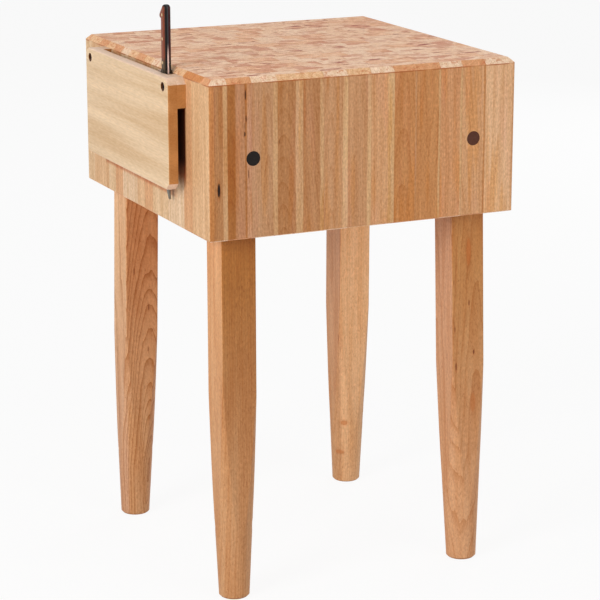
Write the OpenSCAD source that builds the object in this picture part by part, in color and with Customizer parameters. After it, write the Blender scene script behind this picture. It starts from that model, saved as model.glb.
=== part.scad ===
// End-grain butcher block on four legs, with a knife rack on its left side and a chef's knife in it.
// X runs to the right along the front, Y towards the back, Z up. The origin is on the floor, under the
// middle of the whole width and depth, rack included.

/* [Block] */
// Width of the block, along the front
block_w = 540; // [400:5:800]
// Depth of the block, front to back
block_d = 540; // [400:5:800]
// Thickness of the block
block_h = 254; // [180:2:320]
// Rounding of the four upright corners
corner_r = 2.5; // [1:0.5:4]
// Width of the bevel round the top edge
top_bevel = 8.5; // [4:0.5:10]
// Width of the bevel round the bottom edge
bottom_bevel = 1.5; // [1:0.5:3]

/* [Staves] */
// Nominal width of a stave, along the front
stave_w = 41.3; // [36:0.1:50]
// Width of the first stave in the front row
first_stave_w = 31.4; // [20:0.2:34]
// How far the joints of a row are shifted from those of the row in front of it
row_shift = 17; // [10:0.5:20]
// Most that a joint behind the front row is off its regular place
joint_wander = 3; // [0:0.5:4]
// Nominal thickness of a row of staves, front to back
row_t = 34; // [30:0.5:36]
// Thickness of the glue between two staves
glue_t = 0.12; // [0.1:0.01:0.2]

/* [Tie rods] */
// Diameter of a tie rod
rod_d = 10; // [8:0.5:12]
// Clearance round a tie rod in the block
rod_clearance = 0.4; // [0.2:0.1:0.6]
// Distance of a tie rod from the side of the block
rod_side = 75; // [70:1:120]
// Height of the tie rods above the underside of the block
rod_height = 127; // [110:1:140]
// Diameter of a plug
plug_d = 23.4; // [22:0.2:26]
// Thickness of a plug
plug_t = 12; // [6:0.5:13]
// Diameter of a rod washer
washer_d = 22; // [19:0.5:23]
// Thickness of a rod washer
washer_t = 2.5; // [1.5:0.5:3]
// Width across the flats of a rod nut
nut_af = 16; // [14:0.5:18]
// Thickness of a rod nut
nut_t = 8; // [6:0.5:9]
// Length of rod that shows past its nut
rod_end = 2; // [1:0.5:3]

/* [Legs] */
// Height of the underside of the block above the floor
leg_h = 610; // [450:5:760]
// Width of the square part of a leg
leg_w = 60; // [50:1:80]
// Distance of a leg from the sides of the block, at its top
leg_inset = 34; // [20:1:60]
// Height of the square part, from the top of the leg down
leg_square_h = 262; // [180:2:300]
// Rounding of the upright edges of the square part
leg_edge_r = 2.5; // [1:0.5:8]
// Radius of the round foot
foot_r = 25.2; // [20:0.2:28]
// Width of the bevel round the foot
foot_bevel = 2.5; // [1:0.5:4]
// Lean of a leg to its side of the table, in degrees
side_lean = 0.6; // [0:0.1:2]
// Lean of a leg to the front or the back, in degrees
end_lean = 1.6; // [0:0.1:2]
// Diameter of a hanger bolt
bolt_d = 12; // [10:0.5:14]
// Length of a hanger bolt in the leg
bolt_in_leg = 60; // [40:1:80]
// Outer diameter of a threaded insert
insert_d = 18; // [16:0.5:20]
// Length of a threaded insert
insert_h = 25; // [20:1:30]
// How far a hanger bolt stops short of the inner end of its insert
bolt_short = 3; // [1:0.5:6]
// Length of the point at the lower end of a hanger bolt
bolt_point = 12; // [6:1:20]
// Radial clearance of a bolt in its insert and of a washer, nut or plug in its place
fit_clearance = 0.05; // [0.03:0.01:0.08]

/* [Knife rack] */
// Length of the rack, front to back
rack_l = 365; // [300:5:400]
// Height of the rack board
rack_h = 178; // [150:2:200]
// Thickness of the rack board
rack_t = 16.5; // [12:0.5:20]
// Width of the slot between the rack board and the block
slot_w = 14.5; // [13:0.5:18]
// Distance of the rack from the front of the block
rack_front = 89; // [60:1:125]
// Length of a spacer, front to back
spacer_l = 40; // [30:1:50]
// Height of a spacer
spacer_h = 48; // [36:1:60]
// Width of the bevel at the top and the bottom of the rack's ends
rack_end_bevel = 10.5; // [2:0.5:12]
// Rounding of the rack board's outer edges
rack_edge_r = 3; // [1:0.5:6]
// Height of a rack screw below the top of the rack
screw_drop = 15; // [12:1:22]
// Distance of a rack screw from the end of the rack
screw_end = 20; // [12:1:24]
// Diameter of a rack screw's shank
screw_d = 5; // [4:0.5:6]
// Diameter of a rack screw's head
screw_head_d = 13; // [9:0.5:13]
// Height of a rack screw's head
screw_head_h = 3.5; // [2.5:0.5:4]
// Radial clearance of a rack screw's head in its counterbore
screw_head_clearance = 0.9; // [0.3:0.1:1.2]
// Depth of the counterbore over a rack screw
screw_sink = 6; // [4.5:0.5:8]
// Length of a rack screw's shank in the block
screw_in_block = 32; // [20:1:45]
// Length of the point of a rack screw
screw_point = 10; // [5:1:15]

/* [Knife] */
// Distance of the knife's spine from the front spacer
knife_gap = 10.5; // [4:0.5:100]
// Length of the blade below the bolster
blade_l = 203; // [150:1:220]
// Width of the blade at its heel
blade_w = 43; // [35:1:50]
// Thickness of the blade's spine and of the tang
blade_t = 2.4; // [1.8:0.1:3]
// Thickness of the blade's cutting edge
edge_t = 0.4; // [0.2:0.1:0.6]
// Width of the blade's blunt end
blade_end_w = 4; // [3:1:20]
// Length of the straight stretch of the cutting edge below the heel
edge_straight = 70; // [40:1:100]
// Height of the bolster
bolster_h = 5; // [4:1:20]
// How far the bolster rests on the rack board
bolster_rest = 1.7; // [1:0.1:3]
// Gap between the bolster and the block
bolster_clearance = 0.6; // [0.4:0.1:1]
// Height of the handle scales
scale_h = 103; // [80:1:120]
// Thickness of the whole handle
handle_t = 13; // [12:0.5:15]
// Width of the handle, front to back
handle_w = 16.5; // [15:0.5:22]
// Rounding of the handle's long edges
handle_r = 4; // [2:0.5:5]
// How far the butt hooks out past the handle
hook_w = 6; // [2:0.5:8]
// How far the butt slopes down to the hook
hook_drop = 12; // [6:0.5:16]
// Rounding of the butt and of the hook
butt_r = 6; // [4:0.5:7]
// Diameter of a rivet
rivet_d = 5; // [4:0.5:6]
// Height of the lowest rivet above the bolster
rivet_low = 11; // [4:0.5:20]
// Distance of the highest rivet from the top of the butt
rivet_top = 16.5; // [12:0.5:20]

/* [Hidden] */
$fn = 64;
// Hexagons are drawn with six sides
HEX = 6;
// Amount by which a cut runs past the face that it opens
over = 2;
// Width of the blunt end of a bolt's or screw's point, as a share of its shank
point_share = 0.25;

overall_w = block_w + slot_w + rack_t;
left_x = overall_w / 2 - block_w;
right_x = left_x + block_w;
front_y = -block_d / 2;
back_y = block_d / 2;
under_z = leg_h;
top_z = leg_h + block_h;

// Rows of staves
row_count = round(block_d / row_t);
row_pitch = block_d / row_count;
// The least width that a trimmed stave keeps at the side of the block
least_stave_w = 14;
// How far each joint of the front row is off its regular place, from the left
front_wander = [0, 0, 2.8, 5.4, 0.4, 0.8, 0.6, 0.6, -0.8, 0.8, -0.4, 0.6];

// Tie rods
rod_z = under_z + rod_height;
rod_xs = [left_x + rod_side, right_x - rod_side];
sink_r = plug_d / 2 + fit_clearance;
// Space left between the end of a rod and the plug over it
plug_gap = 1;
sink_depth = plug_t + plug_gap + rod_end + nut_t + washer_t;
washer_y = sink_depth - washer_t;
nut_y = washer_y - nut_t;
rod_l = block_d - 2 * (nut_y - rod_end);

// Legs
leg_r = leg_w / 2;
leg_centre = leg_inset + leg_r;
leg_xs = [left_x + leg_centre, right_x - leg_centre];
leg_ys = [front_y + leg_centre, back_y - leg_centre];
// Radius over the corners of the square part, where the turned taper starts
leg_turn_r = (leg_r - leg_edge_r) * sqrt(2) + leg_edge_r;
// How much the radius of the taper grows per millimetre of height
leg_taper = (leg_turn_r - foot_r) / (leg_h - leg_square_h - foot_bevel);
// How far the taper's cone is carried on above its start, clear of the square part
leg_turn_over = 40;
// Extra length of a leg at both ends, which the floor and the block's underside trim
leg_spare = 8;

// Knife rack
board_inner_x = left_x - slot_w;
board_outer_x = board_inner_x - rack_t;
rack_y = front_y + rack_front;
rack_end_y = rack_y + rack_l;
rack_top_z = top_z - top_bevel;
rack_under_z = rack_top_z - rack_h;
screw_z = rack_top_z - screw_drop;
screw_ys = [rack_y + screw_end, rack_end_y - screw_end];
screw_r = screw_d / 2;
screw_sink_r = screw_head_d / 2 + screw_head_clearance;
// Width and depth of the square socket in a rack screw's head
socket_w = 4;
socket_depth = 2;
screw_head_x = board_outer_x + screw_sink;
screw_tip_x = left_x + screw_in_block;

// Knife
bolster_t = slot_w + bolster_rest - bolster_clearance;
knife_x = left_x - bolster_clearance - bolster_t / 2;
spine_y = rack_y + spacer_l + knife_gap;
knife_z = rack_top_z;
scale_z = knife_z + bolster_h;
// Sides of the curved stretch of the cutting edge, and the power that delays its curve
edge_steps = 12;
edge_curve = 1.5;
// Width of the steel that the tang loses to the bolster at each edge
tang_shoulder = 2;
// Rounding of the bolster's upright edges
bolster_r = 4;
// Middles of the butt's round and of the hook's, from the spine and the bolster's top
butt_at = [butt_r, scale_h - butt_r];
hook_at = [handle_w + hook_w - butt_r, butt_at[1] - hook_drop];
// Angle of the butt's slope seen square on, and angle in the hook's round where the hook starts
slope_turn = atan2(hook_at[1] - butt_at[1], hook_at[0] - butt_at[0]) + 90;
hook_turn = -acos(max(butt_r - hook_w, 0) / butt_r);
// Height in the handle where the hook starts
hook_z = hook_at[1] + butt_r * sin(hook_turn);
// Sides of each of the two rounds
butt_steps = 9;
rivet_pitch = (scale_h - rivet_low - rivet_top) / 2;
rivet_zs = [for (i = [0 : 2]) scale_z + rivet_low + i * rivet_pitch];

row_names = [for (row = [1 : row_count]) str("stave_row_", row < 10 ? "0" : "", row)];

// ---------------------------------------------------------------- shared shapes

// A cylinder along X that starts at the point [x, y, z]
module rod_x(x, y, z, radius, length) {
    translate([x, y, z]) rotate([0, 90, 0]) cylinder(r = radius, h = length);
}

// A cylinder along Y that starts at the point [x, y, z]
module rod_y(x, y, z, radius, length) {
    translate([x, y, z]) rotate([-90, 0, 0]) cylinder(r = radius, h = length);
}

// A rectangle from [0, 0] to size, with its corners rounded
module rounded_rectangle(size, radius) {
    translate([radius, 0]) square([size[0] - 2 * radius, size[1]]);
    translate([0, radius]) square([size[0], size[1] - 2 * radius]);
    for (x = [radius, size[0] - radius], y = [radius, size[1] - radius])
        translate([x, y]) circle(r = radius);
}

// ---------------------------------------------------------------- block

// The outer form of the glued block: upright faces, rounded corners, bevels at the top and the bottom
module block_form() {
    intersection() {
        translate([left_x, 0, 0]) rotate([90, 0, 90]) linear_extrude(block_w) bevelled_section(block_d);
        translate([left_x + block_w / 2, back_y, 0]) rotate([90, 0, 0])
            linear_extrude(block_d) bevelled_section(block_w);
        translate([left_x, front_y, under_z])
            linear_extrude(block_h) rounded_rectangle([block_w, block_d], corner_r);
    }
}

// Cross-section of the block with its bevels, from one face to the opposite one
module bevelled_section(width) {
    polygon([
        [-width / 2, under_z + bottom_bevel], [-width / 2 + bottom_bevel, under_z],
        [width / 2 - bottom_bevel, under_z], [width / 2, under_z + bottom_bevel],
        [width / 2, top_z - top_bevel], [width / 2 - top_bevel, top_z],
        [-width / 2 + top_bevel, top_z], [-width / 2, top_z - top_bevel]]);
}

// Joints of one row, as distances from the left face. They wander from their regular places, as
// hand-picked staves do.
function row_joints(row) =
    let (shifted = first_stave_w + row * row_shift,
         first = shifted - stave_w * floor(shifted / stave_w),
         count = ceil(block_w / stave_w),
         wander = rands(-joint_wander, joint_wander, count + 1, row))
    [for (i = [0 : count]) let (x = first + i * stave_w + (row == 0 ? front_off(i) : wander[i]))
        if (x > least_stave_w && x < block_w - least_stave_w) x];

function front_off(joint) = joint < len(front_wander) ? front_wander[joint] : 0;

// The staves of one row before the block is trimmed, with room for the glue all round them
module raw_row(row) {
    joints = concat([-over], row_joints(row), [block_w + over]);
    y = front_y + row * row_pitch + row_glue(row);
    depth = row_pitch - row_glue(row) - row_glue(row + 1);
    for (i = [0 : len(joints) - 2])
        translate([left_x + joints[i] + glue_t / 2, y, under_z - over])
            cube([joints[i + 1] - joints[i] - glue_t, depth, block_h + 2 * over]);
}

// Half of the glue between two rows, or the waste that is trimmed off the front and the back
function row_glue(joint) = joint == 0 || joint == row_count ? -over : glue_t / 2;

// The bores of the tie rods, with a counterbore at the front and the back
module rod_bores() {
    for (x = rod_xs) {
        rod_y(x, front_y - over, rod_z, rod_d / 2 + rod_clearance, block_d + 2 * over);
        rod_y(x, front_y - over, rod_z, sink_r, sink_depth + over);
        rod_y(x, back_y - sink_depth, rod_z, sink_r, sink_depth + over);
    }
}

module insert_bores() {
    for (x = leg_xs, y = leg_ys)
        translate([x, y, under_z - over]) cylinder(r = insert_d / 2 + fit_clearance, h = insert_h + over);
}

module screw_bores() {
    for (y = screw_ys) rod_x(left_x - over, y, screw_z, screw_r + fit_clearance, screw_in_block + over);
}

module stave_row(row) {
    color("burlywood") difference() {
        intersection() {
            block_form();
            raw_row(row);
        }
        rod_bores();
        insert_bores();
        screw_bores();
    }
}

// ---------------------------------------------------------------- tie rods

module tie_rod(side) {
    color("silver") rod_y(rod_xs[side], -rod_l / 2, rod_z, rod_d / 2, rod_l);
}

// A ring along Y, whose outer end faces the front of the block
module ring_y(x, y, outer_r, inner_r, length, sides) {
    translate([x, y, rod_z]) rotate([-90, 0, 0]) difference() {
        cylinder(r = outer_r, h = length, $fn = sides);
        translate([0, 0, -over]) cylinder(r = inner_r, h = length + 2 * over);
    }
}

// The front of the block as it is, and the back as its mirror image
module at_end(end) {
    if (end == 0) children();
    else mirror([0, 1, 0]) children();
}

module rod_washers() {
    color("gray") for (x = rod_xs, end = [0, 1]) at_end(end)
        ring_y(x, front_y + washer_y, washer_d / 2, rod_d / 2 + rod_clearance, washer_t, $fn);
}

module rod_nuts() {
    color("gray") for (x = rod_xs, end = [0, 1]) at_end(end)
        ring_y(x, front_y + nut_y, nut_af / 2 / cos(180 / HEX), rod_d / 2 + fit_clearance, nut_t, HEX);
}

// Side 0 is left and 1 is right, end 0 is front and 1 is back, here and below
module plug(side, end) {
    color(side == 0 ? "#241d1a" : "#553428") at_end(end)
        rod_y(rod_xs[side], front_y, rod_z, plug_d / 2, plug_t);
}

// ---------------------------------------------------------------- legs

// A whole leg before trimming, upright, with its axis through the middle of its top
module raw_leg() {
    over_r = leg_turn_r + leg_taper * leg_turn_over;
    intersection() {
        translate([-leg_r, -leg_r, -leg_h - leg_spare])
            linear_extrude(leg_h + 2 * leg_spare) rounded_rectangle([leg_w, leg_w], leg_edge_r);
        rotate_extrude() polygon([
            [0, -leg_h - leg_spare], [foot_r - foot_bevel - leg_spare, -leg_h - leg_spare],
            [foot_r, -leg_h + foot_bevel], [over_r, leg_turn_over - leg_square_h],
            [over_r, 2 * leg_spare], [0, 2 * leg_spare]]);
    }
}

// The feet lean outwards, and the floor and the block's underside trim the ends
module leg(side, end) {
    about_x = end == 0 ? -end_lean : end_lean;
    about_y = side == 0 ? side_lean : -side_lean;
    color("sandybrown") difference() {
        intersection() {
            translate([leg_xs[side], leg_ys[end], leg_h]) rotate([about_x, about_y, 0]) raw_leg();
            translate([left_x - leg_w, front_y - leg_w, 0])
                cube([block_w + 2 * leg_w, block_d + 2 * leg_w, leg_h]);
        }
        translate([leg_xs[side], leg_ys[end], leg_h - bolt_in_leg - over])
            cylinder(r = bolt_d / 2 + fit_clearance, h = bolt_in_leg + 2 * over);
    }
}

module leg_inserts() {
    color("goldenrod") for (x = leg_xs, y = leg_ys)
        translate([x, y, under_z]) difference() {
            cylinder(r = insert_d / 2, h = insert_h);
            translate([0, 0, -over]) cylinder(r = bolt_d / 2 + fit_clearance, h = insert_h + 2 * over);
        }
}

module hanger_bolts() {
    color("silver") for (x = leg_xs, y = leg_ys)
        translate([x, y, under_z]) {
            translate([0, 0, bolt_point - bolt_in_leg])
                cylinder(r = bolt_d / 2, h = bolt_in_leg - bolt_point + insert_h - bolt_short);
            translate([0, 0, -bolt_in_leg])
                cylinder(r1 = bolt_d / 2 * point_share, r2 = bolt_d / 2, h = bolt_point);
        }
}

// ---------------------------------------------------------------- knife rack

// Side view of the rack with its bevelled ends, as a plate along X
module rack_profile(x, thickness) {
    bevel = rack_end_bevel;
    translate([x, rack_y, rack_under_z]) rotate([90, 0, 90]) linear_extrude(thickness) polygon([
        [0, bevel], [bevel, 0], [rack_l - bevel, 0], [rack_l, bevel],
        [rack_l, rack_h - bevel], [rack_l - bevel, rack_h], [bevel, rack_h], [0, rack_h - bevel]]);
}

// The board's length and height with only the outer edges rounded
module rounded_outer_edges() {
    translate([board_outer_x, rack_y, rack_under_z]) linear_extrude(rack_h)
        rounded_rectangle([rack_t + 2 * rack_edge_r, rack_l], rack_edge_r);
}

module rounded_top_edges() {
    translate([board_outer_x, rack_end_y, rack_under_z]) rotate([90, 0, 0])
        linear_extrude(rack_l) rounded_rectangle([rack_t + 2 * rack_edge_r, rack_h], rack_edge_r);
}

module rack_board() {
    color("wheat") difference() {
        intersection() {
            rack_profile(board_outer_x, rack_t);
            rounded_outer_edges();
            rounded_top_edges();
        }
        for (y = screw_ys) {
            rod_x(board_outer_x - over, y, screw_z, screw_sink_r, screw_sink + over);
            rod_x(board_outer_x, y, screw_z, screw_r + fit_clearance, rack_t + over);
        }
    }
}

// A spacer: its outer end follows the rack's bevelled end
module rack_spacer(end) {
    y = end == 0 ? rack_y : rack_end_y - spacer_l;
    color("tan") difference() {
        intersection() {
            rack_profile(board_inner_x, slot_w);
            translate([board_inner_x, y, rack_top_z - spacer_h]) cube([slot_w, spacer_l, spacer_h]);
        }
        rod_x(board_inner_x - over, screw_ys[end], screw_z, screw_r + fit_clearance, slot_w + 2 * over);
    }
}

module rack_screws() {
    shank_l = screw_tip_x - screw_head_x - screw_point;
    color("#2a2a2c") for (y = screw_ys)
        translate([screw_head_x, y, screw_z]) rotate([0, 90, 0]) {
            translate([0, 0, -screw_head_h]) screw_head();
            cylinder(r = screw_r, h = shank_l);
            translate([0, 0, shank_l])
                cylinder(r1 = screw_r, r2 = screw_r * point_share, h = screw_point);
        }
}

// A pan head with a bevelled rim and a square socket in it
module screw_head() {
    rim_h = screw_head_h / 3;
    difference() {
        union() {
            cylinder(r1 = screw_head_d / 2 - rim_h, r2 = screw_head_d / 2, h = rim_h);
            translate([0, 0, rim_h]) cylinder(r = screw_head_d / 2, h = screw_head_h - rim_h);
        }
        translate([-socket_w / 2, -socket_w / 2, -over]) cube([socket_w, socket_w, socket_depth + over]);
    }
}

// ---------------------------------------------------------------- knife

// Width of the blade at a share of the way from the end of its straight edge to its blunt end
function edge_y(share) = blade_end_w + (blade_w - blade_end_w) * cos(90 * pow(share, edge_curve));

// Side view of the blade, with the spine on the line y = 0 and the heel at z = 0
function blade_outline() = concat(
    [[0, 0], [blade_w, 0], [blade_w, -edge_straight]],
    [for (i = [1 : edge_steps - 1]) let (share = i / edge_steps)
        [edge_y(share), -edge_straight - share * (blade_l - edge_straight)]],
    [[blade_end_w, -blade_l], [0, -blade_l]]);

// Section of the blade, from its spine to its cutting edge
module blade_wedge() {
    polygon([[-blade_t / 2, 0], [blade_t / 2, 0], [edge_t / 2, blade_w], [-edge_t / 2, blade_w]]);
}

// Points on a round of the butt, from one angle to another
function butt_round(middle, start, end) =
    [for (i = [0 : butt_steps]) let (angle = start + (end - start) * i / butt_steps)
        middle + butt_r * [cos(angle), sin(angle)]];

// Side view of the handle from the bolster's top to the butt, which slopes down to a hook on the edge
// side
module handle_outline() {
    polygon(concat([[0, 0]], butt_round(butt_at, 180, slope_turn),
                   butt_round(hook_at, slope_turn, hook_turn),
                   hook_w > butt_r ? [[handle_w, hook_z]] : [], [[handle_w, 0]]));
}

// A plate across the slot from a side view: y runs from the spine to the edge, z up from a level
module knife_plate(level, thickness) {
    translate([knife_x - thickness / 2, spine_y, level]) rotate([90, 0, 90])
        linear_extrude(thickness) children();
}

// The blade thins from the spine to the cutting edge, and its tang runs through the whole handle
module knife_blade() {
    color("lightsteelblue") difference() {
        union() {
            intersection() {
                knife_plate(knife_z, blade_t) polygon(blade_outline());
                translate([knife_x, spine_y, knife_z - blade_l - over])
                    linear_extrude(blade_l + 2 * over) blade_wedge();
            }
            knife_plate(knife_z - over, blade_t) translate([tang_shoulder, 0])
                square([handle_w - 2 * tang_shoulder, bolster_h + 2 * over]);
            knife_plate(scale_z, blade_t) handle_outline();
        }
        rivet_bores();
    }
}

module knife_bolster() {
    slot = [blade_t + 2 * fit_clearance, handle_w - 2 * (tang_shoulder - fit_clearance),
            bolster_h + 2 * over];
    color("#3a332d") difference() {
        translate([knife_x - bolster_t / 2, spine_y, knife_z])
            linear_extrude(bolster_h) rounded_rectangle([bolster_t, handle_w], bolster_r);
        translate([knife_x - slot[0] / 2, spine_y + (handle_w - slot[1]) / 2, knife_z - over]) cube(slot);
    }
}

module rivet_bores() {
    for (z = rivet_zs)
        rod_x(knife_x - handle_t, spine_y + handle_w / 2, z, rivet_d / 2 + fit_clearance, 2 * handle_t);
}

// A length of the handle with rounded long edges
module handle_column(width, start, end) {
    translate([knife_x - handle_t / 2, spine_y, scale_z + start])
        linear_extrude(end - start) rounded_rectangle([handle_t, width], handle_r);
}

module knife_scale(side) {
    inner_x = side == 0 ? knife_x - blade_t / 2 - handle_t : knife_x + blade_t / 2;
    color("#5d3a22") difference() {
        intersection() {
            knife_plate(scale_z, handle_t) handle_outline();
            union() {
                handle_column(handle_w, 0, hook_z + over);
                handle_column(handle_w + hook_w, hook_z, scale_h);
            }
            translate([inner_x, spine_y, scale_z]) cube([handle_t, handle_w + hook_w, scale_h]);
        }
        rivet_bores();
    }
}

module knife_rivets() {
    color("tan") for (z = rivet_zs)
        rod_x(knife_x - handle_t / 2, spine_y + handle_w / 2, z, rivet_d / 2, handle_t);
}

// ---------------------------------------------------------------- drawing

for (row = [0 : row_count - 1]) stave_row(row);
tie_rod(0);  // tie_rod_left
tie_rod(1);  // tie_rod_right
rod_washers();
rod_nuts();
plug(0, 0);  // plug_front_left
plug(1, 0);  // plug_front_right
plug(0, 1);  // plug_back_left
plug(1, 1);  // plug_back_right
leg(0, 0);  // leg_front_left
leg(1, 0);  // leg_front_right
leg(0, 1);  // leg_back_left
leg(1, 1);  // leg_back_right
leg_inserts();
hanger_bolts();
rack_board();
rack_spacer(0);  // rack_spacer_front
rack_spacer(1);  // rack_spacer_back
rack_screws();
knife_blade();
knife_bolster();
knife_scale(0);  // knife_scale_left
knife_scale(1);  // knife_scale_right
knife_rivets();
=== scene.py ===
"""Dresses the butcher block table's pieces, and sets the floor, the light and the camera."""

import logging
import math
import random
from collections.abc import Callable
from dataclasses import dataclass, field
from enum import Enum

import bmesh
import bpy
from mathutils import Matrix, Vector


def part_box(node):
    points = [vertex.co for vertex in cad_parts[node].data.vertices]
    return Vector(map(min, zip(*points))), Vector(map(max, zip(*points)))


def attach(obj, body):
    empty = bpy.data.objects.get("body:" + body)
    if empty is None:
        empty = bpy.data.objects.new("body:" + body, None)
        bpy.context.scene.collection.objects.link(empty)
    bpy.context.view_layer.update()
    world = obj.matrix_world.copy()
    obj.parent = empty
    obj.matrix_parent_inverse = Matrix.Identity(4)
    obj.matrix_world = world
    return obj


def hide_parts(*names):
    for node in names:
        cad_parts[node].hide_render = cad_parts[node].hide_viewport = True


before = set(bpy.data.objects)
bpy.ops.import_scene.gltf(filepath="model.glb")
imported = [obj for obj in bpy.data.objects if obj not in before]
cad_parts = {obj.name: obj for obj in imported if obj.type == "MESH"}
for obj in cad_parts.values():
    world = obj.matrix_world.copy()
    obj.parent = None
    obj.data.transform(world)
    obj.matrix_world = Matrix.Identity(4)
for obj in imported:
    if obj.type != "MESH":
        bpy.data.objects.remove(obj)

log = logging.getLogger("butcher_block")
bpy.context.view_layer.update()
TABLE_SIZE = 16
EDGE_SCALE = 20.0
TONE_SEED = 41
# Painted shade: the near-black of the slot behind the rack board and of the screw counterbores.
SLOT_PAINTED_SHADE = (0.16, 0.08, 0.05)
RED_SHADE = (0.72, 0.4, 0.26)
WARM_DARK = (0.54, 0.38, 0.2)
FLECK_STAIN = (0.55, 0.32, 0.18)
KNOT_STAIN = (0.8, 0.6, 0.42)
GLUE_STAIN = (0.72, 0.52, 0.36)
GOLD_STAIN = (0.97, 0.84, 0.62)
ROSE_STAIN = (1.02, 0.98, 1.06)
WHITE = (1.0, 1.0, 1.0)

Colour = tuple[float, float, float]


class Tone(Enum):
    """The tones of the woods and finishes, as red, green and blue from 0 to 255."""

    IVORY = (214, 186, 152)
    CREAM = (215, 186, 154)
    STRAW = (212, 180, 143)
    SAND = (209, 170, 130)
    PEACH = (206, 158, 116)
    OAT = (209, 165, 124)
    FAWN = (195, 149, 110)
    HONEY = (193, 144, 103)
    OCHRE = (187, 141, 103)
    BISCUIT = (206, 156, 113)
    TAN = (182, 131, 89)
    GINGER = (187, 128, 80)
    RUSSET = (192, 134, 84)
    CARAMEL = (203, 148, 104)
    WHEAT = (220, 176, 136)
    HAZEL = (177, 125, 81)
    AMBER = (173, 116, 69)
    BUFF = (199, 156, 113)
    ROSE_BUFF = (196, 148, 116)
    PALE_BUFF = (209, 168, 124)
    BAND_ORANGE = (202, 138, 80)
    BAND_GOLD = (164, 104, 50)
    BEVEL_CREAM = (242, 212, 184)
    BEVEL_STRAW = (234, 192, 150)
    BEVEL_ORANGE = (222, 164, 120)
    BEVEL_RUST = (210, 142, 86)
    BLOTCH = (204, 122, 80)
    CAP_PALE = (254, 220, 192)
    CAP_SAND = (250, 210, 178)
    CAP_WARM = (244, 192, 154)
    HEART = (214, 146, 116)
    MAUVE = (164, 82, 68)
    RUST_LINE = (166, 88, 44)
    END_GRAIN = (185, 127, 72)
    INK = (14, 10, 9)
    KNOT_BLACK = (32, 16, 7)
    EBONY = (30, 25, 23)
    WALNUT = (86, 52, 40)
    SIDE_TAN = (210, 156, 108)
    SIDE_ROSE = (200, 152, 118)
    SIDE_PALE = (220, 176, 134)
    LEG_GOLD = (164, 104, 46)
    LEG_ROSE = (195, 146, 103)
    LEG_ORANGE = (187, 130, 75)
    LEG_RUSSET = (192, 129, 82)
    LEG_SAND = (206, 154, 112)
    LEG_PALE = (217, 171, 127)
    LEG_LIGHT = (240, 192, 144)
    KNOT_RED = (190, 104, 44)
    KNOT_BROWN = (116, 58, 30)
    # Painted highlight on the knife's tang and bolster.
    TANG_HIGHLIGHT_PINK = (226, 192, 180)
    BUTT_BLUE = (20, 20, 25)
    RACK_EDGE = (231, 200, 176)
    HANDLE_BROWN = (122, 58, 32)
    HANDLE_FOOT = (78, 60, 38)
    HANDLE_RED = (58, 8, 10)
    BLADE = (132, 127, 118)
    DULL_BLADE = (100, 90, 76)
    ZINC = (186, 188, 190)
    DULL_ZINC = (146, 146, 144)
    BRASS = (222, 190, 140)
    DULL_BRASS = (172, 136, 88)
    DARK_STEEL = (70, 64, 54)
    BLACK_STEEL = (34, 34, 36)

    @property
    def linear(self) -> Colour:
        """Gives the tone in linear light, by the sRGB curve."""
        parts = [part / 255.0 for part in self.value]
        return tuple(part / 12.92 if part <= 0.04045 else ((part + 0.055) / 1.055) ** 2.4
                     for part in parts)


def palette(names: str, prefix: str = "") -> tuple[Tone, ...]:
    """Gives the tones with these names, after a prefix that they share."""
    return tuple(Tone[prefix + name] for name in names.split())


# --- shader expressions

def operator(operation: str, swapped: bool = False) -> Callable:
    """Makes a method of Wire that adds a Math node.

    Args:
        operation: The Math node's operation.
        swapped: Whether the other value comes first.

    Returns:
        The method.
    """
    def method(wire: "Wire", *others: "Value") -> "Wire":
        """Feeds the node with the wire and any other value."""
        return wire.graph.math(operation, *((*others, wire) if swapped else (wire, *others)))

    return method


class Wire:
    """A socket with one number, which can stand in an expression. Each operator adds a Math node."""

    __add__ = __radd__ = operator("ADD")
    __sub__ = operator("SUBTRACT")
    __rsub__ = operator("SUBTRACT", swapped=True)
    __mul__ = __rmul__ = operator("MULTIPLY")
    __truediv__ = operator("DIVIDE")
    __pow__ = operator("POWER")
    __lt__ = operator("LESS_THAN")
    __gt__ = operator("GREATER_THAN")
    __abs__ = operator("ABSOLUTE")
    root = operator("SQRT")
    fraction = operator("FRACT")
    sine = operator("SINE")
    cosine = operator("COSINE")

    def __init__(self, graph: "Graph", socket: bpy.types.NodeSocket) -> None:
        """Keeps the socket and the graph that it belongs to."""
        self.graph = graph
        self.socket = socket

    def rise(self, low: "Value", high: "Value") -> "Wire":
        """Climbs smoothly from 0 at low to 1 at high."""
        return self.graph.add("MapRange", {"interpolation_type": "SMOOTHSTEP"},
                              {"Value": self, "From Min": low, "From Max": high})

    def within(self, low: "Value", high: "Value", soft: float) -> "Wire":
        """Gives 1 between low and high and 0 outside, with edges of this softness."""
        return self.rise(low - soft, low + soft) * (1.0 - self.rise(high - soft, high + soft))


Value = Wire | float | int


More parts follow.
